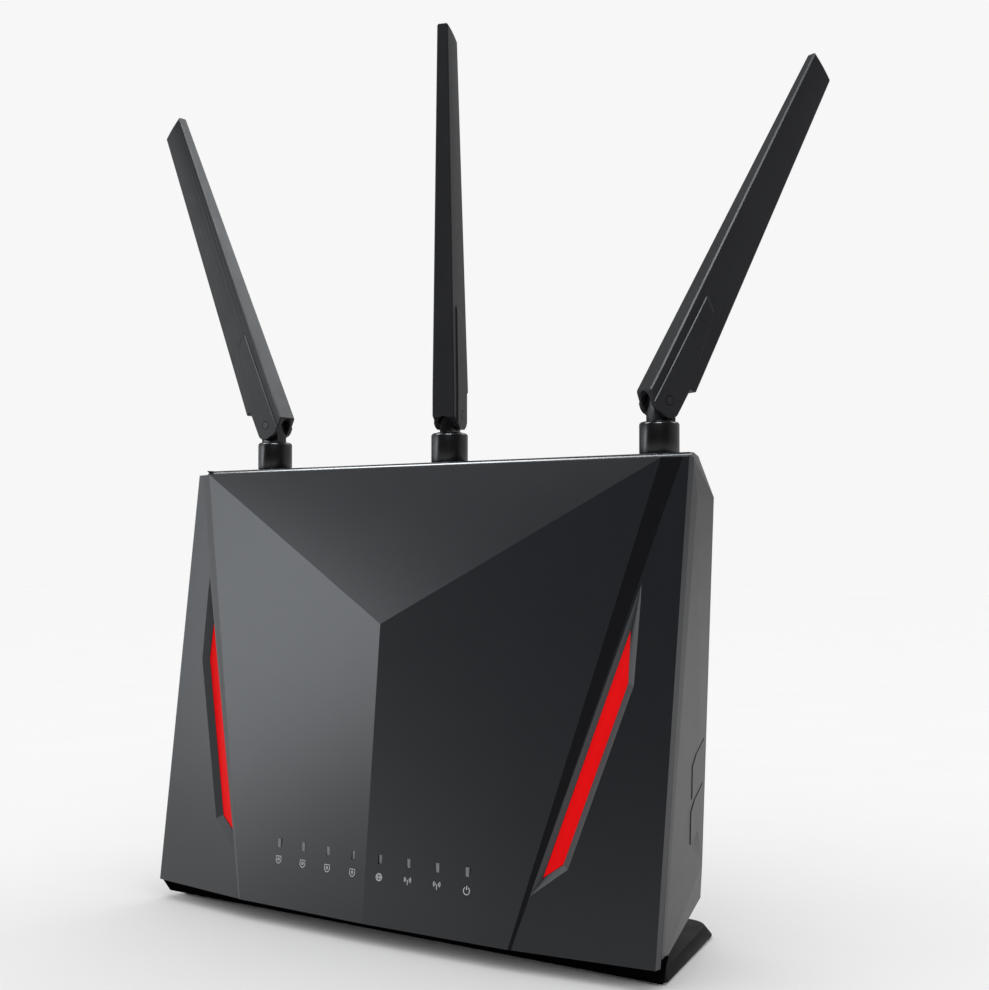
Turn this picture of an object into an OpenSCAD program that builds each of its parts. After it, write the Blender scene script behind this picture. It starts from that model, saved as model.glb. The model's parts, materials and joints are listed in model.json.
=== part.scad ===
// Upright wireless router on a foot plate, with three hinged antennas.
// Millimetres, +Z up, the front faces -Y. The origin is on the resting plane,
// at the middle of the front rubber strip.

/* [Housing] */
// Width of the front cover across its lower corners
body_w = 220; // [216:1:224]
// Height of the front cover's top edge above the table
cover_top = 161.4; // [158:0.2:164]
// Height of the front cover's bottom edge above the table
cover_foot = 6.8; // [6.4:0.1:7.2]
// How far the top edge of the front stands behind the bottom edge
lean = 19.8; // [19:0.1:20.6]
// Distance of the back wall behind the origin
back_y = 44; // [43.5:0.1:45]
// Wall thickness of the mouldings
wall = 2.4; // [2.2:0.1:2.6]

/* [Antennas] */
// Distance from the middle antenna to each outer one
antenna_pitch = 88.3; // [86:0.1:90]
// Height of the hinge pins above the table
pin_z = 181.2; // [180.8:0.1:182]
// Length of a blade from hinge pin to its highest corner
blade_len = 141.2; // [120:0.1:160]
// Direction the left blade leans to, seen from above
turn_left = 181.8; // [150:0.1:210]
// Direction the middle blade would fold to, seen from above
turn_middle = 109; // [80:0.1:120]
// Direction the right blade leans to, seen from above
turn_right = 66; // [50:0.1:90]
// Lean of the left blade from upright
tilt_left = 25.5; // [0:0.5:60]
// Lean of the middle blade from upright
tilt_middle = 0; // [0:0.5:60]
// Lean of the right blade from upright
tilt_right = 31; // [0:0.5:60]

/* [Controls] */
// Pitch of the eight lamps
lamp_pitch = 12.04; // [11.8:0.02:12.3]
// Height of the lamps above the table
lamp_z = 28.6; // [28:0.1:30]

/* [Hidden] */
eps = 0.01;
part_gap = 0.2;
half_w = body_w / 2 - 0.2;
cover_h = cover_top - cover_foot;
front_y = -16;
cover_lip = 3;
shell_top = 163.2;
antenna_y = 23.1;

// Front cover, right half: corners of the raised panel and of the wing.
ridge_foot = [0, front_y - 7.9, cover_foot];
ridge_top = [0, front_y + 1.1, cover_foot + 100.1];
panel_foot = [59.7, front_y - 6.5, cover_foot];
panel_head = [102.2, front_y + 17, cover_top];
step_foot = [60.8, front_y - 6.1, cover_foot];
step_head = [108.5, front_y + 19.5, cover_top];
wing_foot = [half_w, front_y, cover_foot];
wing_head = [half_w + 0.9, front_y + lean, cover_top];

// Accent strip, right half, as seen from the front: x and z.
strip_rim = [[97.1, 121], [96.8, 90.4], [78.5, 33], [66, 23.7]];
strip_face = [[93.7, 107.3], [94, 90.7], [76.1, 34.3], [69.3, 29.5]];
strip_depth = 1.5;

// Circuit board plane and the ports' places along the back.
board_y = 21.8;
board_t = 1.6;
board_back = board_y + board_t;
board_foot = 24;
board_head = 130;
board_half = 80;
port_z = 35;
lan_pitch = 14;
lan_x = -27;
wan_x = -3;
usb_x = [17, 35];
reset_x = 48;
inlet_x = 60;
power_x = 75;

// Side buttons: frame on the side face, outward along its x.
side_turn = 15.5;
side_dip = 2.3;
side_anchor = [104.2, 15, 53];
key_travel = 0.8;
power_travel = 2;
reset_travel = 0.6;

// Antenna hinge.
tongue_t = 5;
tongue_w = 9;
pin_r = 1.4;
pin_shift = 1;
ear_drop = 5.4;
blade_foot_t = 8.4;
blade_tip_t = 4;
panel_raise = 0.4;
collar_r = 6.65;
collar_foot = shell_top + 0.5;
collar_top = pin_z - 6.8;
neck_r = 4.55;
jack_r = 3.1;

screw_x = 85;
screw_zs = [27, 140];
post_y = 10;

plastic = [0.20, 0.21, 0.22];
shell_grey = [0.36, 0.37, 0.38];
black = [0.12, 0.12, 0.13];
red = [0.85, 0.03, 0.03];
steel = [0.70, 0.71, 0.72];
brass = [0.80, 0.65, 0.35];
board_green = [0.08, 0.30, 0.16];
clear = [0.85, 0.88, 0.90];

// y of the plane through the cover's outer edges, at height z.
function edge_y(z) = front_y + lean * (z - cover_foot) / cover_h;
// y of the wing's surface at x and z.
function wing_y(x, z) = edge_y(z) - 0.125 * (half_w - x);
// y of the crease between the side band and the side face, at height z.
function crease_y(z) = -9 + 0.1506 * (z - 17.2);
// Height of the housing's underside at y.
function under_z(y) = 8 + 0.233 * (y + 8.7);

function mirrored(p) = [-p[0], p[1], p[2]];

// Hull of small cubes at the given points.
module hull_of(points) {
    hull()
        for (p = points)
            translate(p) cube(eps, center = true);
}

// Points and their mirror images.
module hull_of_pairs(points) {
    hull()
        for (p = points)
            for (q = [p, mirrored(p)])
                translate(q) cube(eps, center = true);
}

module wing_slab() {
    hull_of_pairs([wing_foot, wing_head, step_foot, step_head,
        [half_w, edge_y(cover_foot) + cover_lip, cover_foot],
        [half_w + 0.9, edge_y(cover_top) + cover_lip, cover_top]]);
}

module raised_panel() {
    hull_of_pairs([ridge_foot, ridge_top, panel_foot, panel_head, step_foot, step_head]);
}

// Room inside the cover, as seen from the front.
module cover_room() {
    rim = wall - 0.2;
    rotate([90, 0, 0])
        linear_extrude(120, center = true)
            polygon([[-half_w + rim, cover_foot + rim], [half_w - rim, cover_foot + rim],
                [half_w - rim, cover_top - rim], [-half_w + rim, cover_top - rim]]);
}

// Recess of the right accent strip: wide at the wing's face, narrow at its floor.
module strip_recess() {
    hull() {
        for (p = strip_rim)
            translate([p[0], wing_y(p[0], p[1]) - 0.05, p[1]]) cube(eps, center = true);
        for (p = strip_face)
            translate([p[0], wing_y(p[0], p[1]) + strip_depth, p[1]]) cube(eps, center = true);
    }
}

module strip_window(margin) {
    translate([0, 60, 0])
        rotate([90, 0, 0])
            linear_extrude(90)
                offset(delta = margin)
                    polygon(strip_face);
}

module lamp_slots(grow) {
    for (i = [-3.5 : 3.5])
        translate([i * lamp_pitch, front_y - 10, lamp_z])
            cube([1.4 + grow, 30, 3.2 + grow], center = true);
}

module boss(x, z, r, y0, y1) {
    translate([x, y0, z])
        rotate([-90, 0, 0])
            cylinder(r = r, h = y1 - y0, $fn = 32);
}

module front_cover() {
    color(plastic)
    difference() {
        union() {
            difference() {
                union() {
                    wing_slab();
                    raised_panel();
                }
                intersection() {
                    translate([0, wall, 0]) {
                        wing_slab();
                        raised_panel();
                    }
                    cover_room();
                }
            }
            // screw bosses of the housing and of the lamp board
            for (side = [-1, 1]) {
                for (z = screw_zs)
                    boss(side * screw_x, z, 3.2, wing_y(screw_x, z) + 1.2, post_y - part_gap);
                boss(side * 53, lamp_z + 3, 2.2, -20, -10.4);
            }
        }
        strip_recess();
        mirror([1, 0, 0]) strip_recess();
        strip_window(0.3);
        mirror([1, 0, 0]) strip_window(0.3);
        lamp_slots(0);
        for (side = [-1, 1]) {
            for (z = screw_zs)
                boss(side * screw_x, z, 1.2, post_y - 12, post_y);
            boss(side * 53, lamp_z + 3, 0.7, -16, -10);
        }
    }
}

// Red insert: its face fills the floor of the recess, its flange sits behind the wing.
module accent_strip() {
    color(red) {
        hull() {
            for (p = strip_face) {
                translate([p[0], wing_y(p[0], p[1]) + strip_depth + 0.1, p[1]])
                    cube(eps, center = true);
                translate([p[0], wing_y(p[0], p[1]) + wall + 0.5, p[1]]) cube(eps, center = true);
            }
        }
        hull() {
            for (p = strip_rim) {
                translate([p[0] * 0.995, wing_y(p[0], p[1]) + wall + 0.35, p[1]])
                    cube(eps, center = true);
                translate([p[0] * 0.995, wing_y(p[0], p[1]) + wall + 1.6, p[1]])
                    cube(eps, center = true);
            }
        }
    }
}

module accent_strip_left() {
    mirror([1, 0, 0]) accent_strip();
}

module accent_strip_right() {
    accent_strip();
}

// y of the panel's face along the lamps, at distance x from the middle.
function lamp_face_y(x) = ridge_foot[1] + 0.09 * (lamp_z - cover_foot) + 0.024 * abs(x);

module light_pipe() {
    color(clear) {
        translate([-46, -16, lamp_z - 2.5])
            cube([92, 2.4, 5]);
        for (i = [-3.5 : 3.5])
            translate([i * lamp_pitch - 0.6, lamp_face_y(i * lamp_pitch) + 0.5, lamp_z - 1.5])
                cube([1.2, -15.8 - lamp_face_y(i * lamp_pitch) - 0.5, 3]);
    }
}

module lamp_board() {
    color(board_green)
    difference() {
        translate([-56, -10.2, lamp_z - 7])
            cube([112, 1.2, 15]);
        for (side = [-1, 1])
            boss(side * 53, lamp_z + 3, 1, -12, -8);
    }
    color(clear)
        for (i = [-3.5 : 3.5])
            translate([i * lamp_pitch - 0.8, -12, lamp_z - 0.8])
                cube([1.6, 1.8, 1.6]);
}

// Outside of the rear shell (inset 0) or its cavity (inset = wall).
module shell_form(inset, forward) {
    g = inset;
    hull_of_pairs([
        [half_w - 0.1 - g, edge_y(8) + cover_lip + part_gap - forward, 7 + g],
        [half_w - 0.5 - g, crease_y(8) + g / 2, 8.4 + g],
        [half_w + 0.7 - g, edge_y(160.6) + cover_lip + part_gap - forward, 160.8 - g],
        [half_w - 0.3 - g, crease_y(149.5), 149.5 - g],
        [103.4 - g, 32.4 - g / 2, 149.5 - g],
        [92 - g / 2, back_y - g, 149.5 - g],
        [108.9 - g, edge_y(161) + cover_lip + 0.9 - forward, shell_top - g],
        [107.6 - g, 12, shell_top - g],
        [97.9 - g, 32 - g / 2, shell_top - g],
        [90 - g / 2, 39.5 - g, shell_top - g],
        [99 - g, 31.4 - g / 2, 29.4],
        [96.6 - g, 34.4 - g / 2, under_z(34.4) + g],
        [88 - g / 2, back_y - g, under_z(back_y) + g]]);
}

// Lip under the front cover, running the whole width.
module chin() {
    rotate([90, 0, 90])
        linear_extrude(2 * half_w - 0.6, center = true)
            polygon([[front_y + 1.2, cover_foot - 0.3], [front_y + 4.9, 1.7],
                [front_y + 7.4, 8], [front_y + 8.4, 9.4], [front_y + 3.7, 9.4],
                [front_y + 3.7, cover_foot - 0.3]]);
}

module round_hole_y(x, z, r) {
    translate([x, back_y - 6, z])
        rotate([-90, 0, 0])
            cylinder(r = r, h = 12, $fn = 48);
}

module side_frame() {
    translate(side_anchor)
        rotate([0, side_dip, side_turn])
            children();
}

// Slanted outline of one side button: along the side face and up.
module key_outline(drop, grow) {
    offset(delta = grow)
        polygon([[0.6, 0.4 - drop], [0, 10.6 - drop], [4, 14 - drop], [13.6, 18 - drop],
            [14.2, 8.4 - drop], [9.4, 3.8 - drop]]);
}

module key_prism(drop, grow, x0, x1) {
    translate([x0, 0, 0])
        rotate([90, 0, 90])
            linear_extrude(x1 - x0)
                key_outline(drop, grow);
}

module port_window(x, z, w, h) {
    translate([x - w / 2, back_y - 6, z - h / 2])
        cube([w, 12, h]);
}

module rear_shell() {
    color(shell_grey)
    difference() {
        union() {
            difference() {
                union() {
                    shell_form(0, 0);
                    chin();
                }
                shell_form(wall, 6);
            }
            // screw posts from the back wall
            for (side = [-1, 1]) {
                for (z = screw_zs)
                    boss(side * screw_x, z, 4.4, post_y, back_y - 1);
                for (z = [62, 124])
                    boss(side * 76, z, 2.6, board_back + 0.02, back_y - 1);
            }
            // posts of the side switch board
            side_frame()
                for (z = [-18, 22])
                    translate([-12.38, 7, z])
                        rotate([0, 90, 0])
                            cylinder(r = 1.8, h = 11, $fn = 32);
        }
        // counterbored screw holes
        for (side = [-1, 1]) {
            for (z = screw_zs) {
                boss(side * screw_x, z, 1.6, post_y - 1, post_y + 6);
                boss(side * screw_x, z, 3.2, post_y + 3, back_y + 1);
            }
            for (z = [62, 124])
                boss(side * 76, z, 1.1, board_back - 1, board_back + 8);
        }
        // antenna jacks through the top
        for (k = [-1 : 1])
            translate([k * antenna_pitch, antenna_y, shell_top - 6])
                cylinder(r = jack_r + 0.1, h = 12, $fn = 48);
        // ports in the back wall
        port_window(wan_x, port_z, 16.4, 14.4);
        port_window(lan_x - 1.5 * lan_pitch, port_z, 4 * lan_pitch + 2.6, 14.4);
        for (x = usb_x)
            port_window(x, port_z - 1, 14.4, 7);
        round_hole_y(inlet_x, port_z, 4.4);
        round_hole_y(reset_x, port_z, 1.6);
        round_hole_y(power_x, port_z, 5.3);
        // side buttons
        side_frame() {
            key_prism(0, 0.3, -6, 6);
            key_prism(14.4, 0.3, -6, 6);
        }
        // cooling slots in the back wall and in the underside
        for (i = [-9 : 9]) {
            translate([i * 8 - 1.2, back_y - 6, 62]) cube([2.4, 12, 30]);
            translate([i * 8 - 1.2, back_y - 6, 100]) cube([2.4, 12, 30]);
        }
        for (i = [-6 : 6])
            translate([i * 8 - 1.2, 24, 6]) cube([2.4, 10, 20]);
        // screws up from the stand
        for (side = [-1, 1])
            translate([side * 60, 10, 6]) cylinder(r = 1.1, h = 16, $fn = 32);
    }
}

// Outline of the foot plate, drawn in by inset.
module foot_outline(inset) {
    hull() {
        for (side = [-1, 1]) {
            translate([side * (105.6 - inset), -5.2 + inset]) circle(r = 2, $fn = 32);
            translate([side * (80.5 - inset), 49 - inset]) circle(r = 10.6, $fn = 64);
        }
    }
}

module stand() {
    color(black)
    difference() {
        union() {
            hull() {
                translate([0, 0, 0.8]) linear_extrude(0.4) foot_outline(0);
                translate([0, 0, 3.9]) linear_extrude(0.4) foot_outline(1.8);
            }
            // pedestal up to the underside of the housing
            rotate([90, 0, 90])
                linear_extrude(160, center = true)
                    polygon([[-4, 3], [38, 3], [36, under_z(36) - 0.15],
                        [-3, under_z(-3) - 0.15]]);
        }
        for (y = [0, 50])
            translate([-84.2, y - 4.2, 0]) cube([168.4, 8.4, 1.9]);
        for (side = [-1, 1]) {
            translate([side * 60, 10, -1]) cylinder(r = 1.6, h = 20, $fn = 32);
            translate([side * 60, 10, -1]) cylinder(r = 3.2, h = 7, $fn = 32);
        }
    }
}

module rubber_strips() {
    color(black)
        for (y = [0, 50])
            translate([-84, y - 4, 0]) cube([168, 8, 1.8]);
}

// Pan-head screw along +Z: head below z = 0, shank above.
module screw(head_r, head_h, shank_r, shank_l) {
    difference() {
        translate([0, 0, -head_h]) cylinder(r = head_r, h = head_h, $fn = 32);
        for (a = [0, 90])
            rotate([0, 0, a])
                translate([-head_r * 0.65, -0.25, -head_h - 1]) cube([head_r * 1.3, 0.5, 1.6]);
    }
    cylinder(r = shank_r, h = shank_l, $fn = 32);
}

module stand_screws() {
    color(steel)
        for (side = [-1, 1])
            translate([side * 60, 10, 5.98]) screw(2.8, 1.8, 1.05, 10.5);
}

module housing_screws() {
    color(steel)
        for (side = [-1, 1])
            for (z = screw_zs)
                translate([side * screw_x, post_y + 3.02, z])
                    rotate([90, 0, 0]) screw(2.8, 1.8, 1.15, 12);
}

module board_screws() {
    color(steel)
        for (side = [-1, 1])
            for (z = [62, 124])
                translate([side * 76, board_y - 0.02, z])
                    rotate([-90, 0, 0]) screw(2.4, 1.4, 1.05, 8);
}

module lamp_board_screws() {
    color(steel)
        for (side = [-1, 1])
            translate([side * 53, -8.98, lamp_z + 3])
                rotate([90, 0, 0]) screw(1.8, 1, 0.65, 6);
}

module main_board() {
    color(board_green)
    difference() {
        translate([-board_half, board_y, board_foot])
            cube([2 * board_half, board_t, board_head - board_foot]);
        for (side = [-1, 1]) {
            for (z = [62, 124])
                boss(side * 76, z, 1.3, board_y - 1, board_back + 1);
            // notches around the housing's screw posts
            boss(side * screw_x, screw_zs[0], 6.2, board_y - 1, board_back + 1);
        }
    }
}

// Chips on the front of the board, then on its back.
module chips() {
    color(black) {
        for (c = [[-16, 92, 17], [18, 92, 14], [-56, 96, 9], [56, 96, 9]])
            translate([c[0] - c[2] / 2, board_y - 1.2, c[1] - c[2] / 2])
                cube([c[2], 1.18, c[2]]);
        translate([-8, board_back + 0.02, 80]) cube([16, 1.18, 16]);
    }
}

module thermal_pads() {
    color([0.75, 0.77, 0.80]) {
        for (c = [[-16, 92, 16], [18, 92, 13]])
            translate([c[0] - c[2] / 2, board_y - 2.18, c[1] - c[2] / 2])
                cube([c[2], 0.96, c[2]]);
        translate([-7.5, board_back + 1.22, 80.5]) cube([15, 0.96, 15]);
    }
}

// Finned block: base on y = 0, fins towards +Y.
module heatsink(w, h, base, fin_l, count) {
    pitch = (w - 1.6) / (count - 1);
    cube([w, base, h]);
    for (i = [0 : count - 1])
        translate([i * pitch, base - eps, 0])
            cube([1.6, fin_l, h]);
}

module front_heatsink() {
    color(steel)
        translate([34, board_y - 2.2, 72])
            rotate([0, 0, 180])
                heatsink(68, 42, 3, 9, 12);
}

module rear_heatsink() {
    color(steel)
        translate([-36, board_back + 2.2, 66])
            heatsink(72, 46, 3, 8, 12);
}

module shield_can(x) {
    color(steel)
    difference() {
        translate([x - 13, board_y - 3.4, 80]) cube([26, 3.38, 34]);
        translate([x - 12.6, board_y - 3, 80.4]) cube([25.2, 4, 33.2]);
    }
}

module shield_can_left() {
    shield_can(-56);
}

module shield_can_right() {
    shield_can(56);
}

// Network jack: metal shell around a keyed opening, mouth flush with the back wall.
module network_jack(x) {
    depth = back_y + 0.2 - board_back;
    difference() {
        translate([x - 7, board_back + 0.02, port_z - 6.8]) cube([14, depth, 13.6]);
        translate([x - 6, back_y - 14, port_z - 4.2]) cube([12, 20, 8.2]);
        translate([x - 3.2, back_y - 14, port_z - 5.8]) cube([6.4, 20, 3]);
    }
    // eight spring contacts along the roof of the opening
    for (i = [-3.5 : 3.5])
        translate([x + i * 1.02 - 0.2, back_y - 14 - eps, port_z + 3.3])
            cube([0.4, 10, 0.72]);
}

module wan_jack() {
    color(steel) network_jack(wan_x);
}

module lan_jacks() {
    color(steel)
        for (i = [0 : 3])
            network_jack(lan_x - i * lan_pitch);
}

module usb_jacks() {
    color(steel)
        for (x = usb_x)
            difference() {
                union() {
                    difference() {
                        translate([x - 6.6, board_back + 0.02, port_z - 3.9])
                            cube([13.2, back_y + 0.2 - board_back, 5.8]);
                        translate([x - 6.1, board_back + 7, port_z - 3.4])
                            cube([12.2, 20, 4.8]);
                    }
                    translate([x - 5.6, board_back + 6, port_z + 0.1 - 1.2])
                        cube([11.2, 13, 1.8]);
                }
            }
}

module power_inlet() {
    color(black)
    difference() {
        union() {
            translate([inlet_x - 4.6, board_back + 0.02, port_z - 5]) cube([9.2, 16, 10]);
            boss(inlet_x, port_z, 4.2, board_back + 10, back_y + 0.2);
        }
        boss(inlet_x, port_z, 3.1, back_y - 10, back_y + 1);
    }
    color(steel) boss(inlet_x, port_z, 1, back_y - 10.2, back_y - 1);
}

module power_switch() {
    color(black)
    difference() {
        translate([power_x - 4.5, board_back + 0.02, port_z - 4.5]) cube([9, 9, 9]);
        boss(power_x, port_z, 2.1, board_back + 4, board_back + 12);
    }
}

module power_button() {
    color(black) {
        boss(power_x, port_z, 5, back_y - 3.6, back_y + 2.6);
        boss(power_x, port_z, 2.02, board_back + 6.4, back_y - 3.6);
    }
}

module reset_switch() {
    color(black)
    difference() {
        translate([reset_x - 3, board_back + 0.02, port_z - 3]) cube([6, 5, 6]);
        boss(reset_x, port_z, 1.05, board_back + 2, board_back + 8);
    }
}

module reset_button() {
    color(red) {
        boss(reset_x, port_z, 0.98, board_back + 3, back_y - 1);
        boss(reset_x, port_z, 1.4, back_y - 4, back_y - 1);
    }
}

// Button cap in the side face, with a flange behind the wall and a stem.
module side_button(drop) {
    side_frame() {
        key_prism(drop, 0, -3.6, 0.4);
        key_prism(drop, 0.6, -4.6, -3.2);
        translate([-8, 7, 8.6 - drop])
            rotate([0, 90, 0])
                cylinder(r = 1.3, h = 4, $fn = 32);
    }
}

module upper_side_button() {
    color(shell_grey) side_button(0);
}

module lower_side_button() {
    color(shell_grey) side_button(14.4);
}

module side_switch_board() {
    side_frame() {
        color(board_green)
            translate([-13.6, 1, -20.5]) cube([1.2, 12, 45]);
        color(black)
            for (drop = [0, 14.4])
                difference() {
                    translate([-12.42, 4, 5.6 - drop]) cube([3.4, 6, 6]);
                    translate([-11, 7, 8.6 - drop])
                        rotate([0, 90, 0])
                            cylinder(r = 1.4, h = 6, $fn = 32);
                }
    }
}

module antenna_jacks() {
    color(brass)
        for (k = [-1 : 1])
            translate([k * antenna_pitch, antenna_y, 0]) {
                difference() {
                    translate([0, 0, 150]) cylinder(r = jack_r, h = 19, $fn = 48);
                    translate([0, 0, 162]) cylinder(r = 2.3, h = 10, $fn = 48);
                }
                translate([0, 0, 161]) cylinder(r = 0.6, h = 6, $fn = 24);
                translate([0, 0, shell_top - wall - 2.2])
                    difference() {
                        cylinder(r = 4.6, h = 2.1, $fn = 6);
                        translate([0, 0, -1]) cylinder(r = jack_r - 0.2, h = 5, $fn = 48);
                    }
            }
}

module antenna_jack_nuts() {
    color(steel)
        for (k = [-1 : 1])
            translate([k * antenna_pitch, antenna_y, 155])
                difference() {
                    cylinder(r = 4.6, h = 2.2, $fn = 6);
                    translate([0, 0, -1]) cylinder(r = jack_r + 0.02, h = 6, $fn = 48);
                }
}

// Round cable through the given points, with a ball at each bend.
module cable(points, r) {
    last = len(points) - 1;
    for (i = [1 : last]) {
        a = points[i - 1];
        d = points[i] - a;
        translate(a)
            rotate([0, acos(d[2] / norm(d)), atan2(d[1], d[0])])
                cylinder(r = r, h = norm(d), $fn = 24);
    }
    for (i = [1 : last - 1])
        translate(points[i]) sphere(r = r + 0.08, $fn = 24);
}

// Coax from a plug on the board's back up to each antenna jack.
module coax_tails() {
    color(black)
        for (k = [-1 : 1]) {
            boss(k * 56, 118, 1.8, board_back + 0.02, board_back + 2.9);
            cable([[k * 56, board_back + 1.5, 118], [k * 58, board_back + 3, 128],
                [k * 68, board_back + 2, 139], [k * 84, antenna_y + 0.5, 147],
                [k * antenna_pitch, antenna_y, 148.4], [k * antenna_pitch, antenna_y, 149.95]],
                0.9);
        }
}

module at_antenna(k) {
    translate([k * antenna_pitch, antenna_y, 0]) children();
}

// Collar nut: threaded bore below, room for the knuckle's flange above.
module collar() {
    h = collar_top - collar_foot;
    translate([0, 0, collar_foot])
        rotate_extrude($fn = 64)
            polygon([[jack_r + 0.06, 0], [collar_r - 0.3, 0], [collar_r, 0.3],
                [collar_r, h - 0.9], [collar_r - 0.25, h - 0.35], [collar_r - 0.8, h],
                [neck_r + 0.1, h], [neck_r + 0.1, h - 0.9], [5.06, h - 0.9],
                [5.06, h - 4.6], [jack_r + 0.06, h - 4.6]]);
}

// Knuckle: flange inside the collar, neck through it, flat tongue around the pin.
module knuckle() {
    difference() {
        union() {
            translate([0, 0, collar_top - 4.4]) cylinder(r = 4.98, h = 3.4, $fn = 64);
            translate([0, 0, collar_top - 4.4]) cylinder(r = neck_r, h = 4.7, $fn = 64);
            translate([pin_shift, 0, pin_z])
                rotate([90, 0, 0])
                    cylinder(r = tongue_w / 2, h = tongue_t, center = true, $fn = 64);
            intersection() {
                translate([pin_shift - tongue_w / 2, -tongue_t / 2, collar_top + 0.25])
                    cube([tongue_w, tongue_t, pin_z - collar_top - 0.25]);
                translate([0, 0, collar_top]) cylinder(r = 5.4, h = 20, $fn = 64);
            }
        }
        translate([pin_shift, 0, pin_z])
            rotate([90, 0, 0])
                cylinder(r = pin_r + 0.05, h = 20, center = true, $fn = 48);
    }
}

// Places a blade's parts: the origin is the middle of the hinge pin.
module posed(turn, tilt) {
    rotate([0, 0, turn])
        translate([pin_shift, 0, pin_z])
            rotate([0, tilt, 0])
                children();
}

// Body of the blade above the hinge; x is the side it folds to, z runs along it.
module blade_body() {
    hull() {
        translate([-8.1, -blade_foot_t / 2, 8.2])
            cube([16, blade_foot_t, eps]);
        translate([-9.4, -blade_tip_t / 2, blade_len - eps])
            cube([eps, blade_tip_t, eps]);
        translate([1.2, -blade_tip_t / 2, blade_len - 4.2])
            cube([eps, blade_tip_t, eps]);
    }
}

// Outline of an ear and the raised panel above it, seen along the pin.
module panel_profile() {
    polygon([[-5, 40], [-5, -3.6], [-3.6, -4.8], [-2.2, -ear_drop], [2.6, -ear_drop],
        [4.4, -4.1], [5.2, -2.6], [5.2, 8.3], [0.6, 36.4]]);
}

// Outline of the blade's back below the body, drawn in to the ears.
module heel_profile() {
    polygon([[-8.1, 8.3], [-8.1, -1], [-3.6, -4.8], [-3.6, 8.3]]);
}

// Raised panels and ears on both faces, tapering like the blade.
module panels() {
    foot_t = blade_foot_t + 2 * panel_raise;
    intersection() {
        hull() {
            translate([-12, -foot_t / 2, -8]) cube([24, foot_t, 16.3]);
            translate([-12, -foot_t / 2 + 0.6, 44]) cube([24, foot_t - 1.2, eps]);
        }
        rotate([90, 0, 0])
            linear_extrude(20, center = true)
                panel_profile();
    }
}

module blade() {
    slot = tongue_t + 0.3;
    difference() {
        union() {
            blade_body();
            panels();
            rotate([90, 0, 0])
                linear_extrude(blade_foot_t, center = true)
                    heel_profile();
        }
        // slot for the knuckle, closed on the side away from the fold
        translate([-6, -slot / 2, -8]) cube([15, slot, 14.2]);
        translate([-10, -slot / 2, -8]) cube([14, slot, 7]);
        // room for the radiator board
        hull() {
            translate([-6, -2.6, 6]) cube([10.4, 5.2, eps]);
            translate([-7.4, -0.9, blade_len - 10]) cube([7, 1.8, eps]);
        }
        rotate([90, 0, 0]) cylinder(r = pin_r, h = 20, center = true, $fn = 48);
    }
}

module hinge_pin() {
    rotate([90, 0, 0])
        cylinder(r = pin_r, h = blade_foot_t + 2 * panel_raise + 0.3, center = true, $fn = 48);
}

// Antenna board inside the blade, with the feed sleeve on its lower end.
module radiator() {
    rotate([0, -1.1, 0]) {
        translate([-3.6, -0.4, 10]) cube([5, 0.8, blade_len - 24]);
        translate([-1, 0, 12]) cylinder(r = 1.6, h = 26, $fn = 32);
    }
}

module collar_left() {
    color(black) at_antenna(-1) collar();
}

module collar_middle() {
    color(black) at_antenna(0) collar();
}

module collar_right() {
    color(black) at_antenna(1) collar();
}

module knuckle_left() {
    color(black) at_antenna(-1) rotate([0, 0, turn_left]) knuckle();
}

module knuckle_middle() {
    color(black) at_antenna(0) rotate([0, 0, turn_middle]) knuckle();
}

module knuckle_right() {
    color(black) at_antenna(1) rotate([0, 0, turn_right]) knuckle();
}

module hinge_pin_left() {
    color(steel) at_antenna(-1) posed(turn_left, tilt_left) hinge_pin();
}

module hinge_pin_middle() {
    color(steel) at_antenna(0) posed(turn_middle, tilt_middle) hinge_pin();
}

module hinge_pin_right() {
    color(steel) at_antenna(1) posed(turn_right, tilt_right) hinge_pin();
}

module blade_left() {
    color(black) at_antenna(-1) posed(turn_left, tilt_left) blade();
}

module blade_middle() {
    color(black) at_antenna(0) posed(turn_middle, tilt_middle) blade();
}

module blade_right() {
    color(black) at_antenna(1) posed(turn_right, tilt_right) blade();
}

module radiator_left() {
    color(brass) at_antenna(-1) posed(turn_left, tilt_left) radiator();
}

module radiator_middle() {
    color(brass) at_antenna(0) posed(turn_middle, tilt_middle) radiator();
}

module radiator_right() {
    color(brass) at_antenna(1) posed(turn_right, tilt_right) radiator();
}

front_cover();
accent_strip_left();
accent_strip_right();
light_pipe();
rear_shell();
stand();
rubber_strips();
stand_screws();
housing_screws();
board_screws();
lamp_board_screws();
main_board();
chips();
thermal_pads();
front_heatsink();
rear_heatsink();
shield_can_left();
shield_can_right();
lamp_board();
wan_jack();
lan_jacks();
usb_jacks();
power_inlet();
power_switch();
power_button();
reset_switch();
reset_button();
side_switch_board();
upper_side_button();
lower_side_button();
antenna_jacks();
antenna_jack_nuts();
coax_tails();
collar_left();
knuckle_left();
hinge_pin_left();
blade_left();
radiator_left();
collar_middle();
knuckle_middle();
hinge_pin_middle();
blade_middle();
radiator_middle();
collar_right();
knuckle_right();
hinge_pin_right();
blade_right();
radiator_right();
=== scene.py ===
"""Looks of an upright wireless router with three hinged antennas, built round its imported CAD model."""

import json
import math

import bmesh
import bpy
from mathutils import Matrix, Vector


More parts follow.
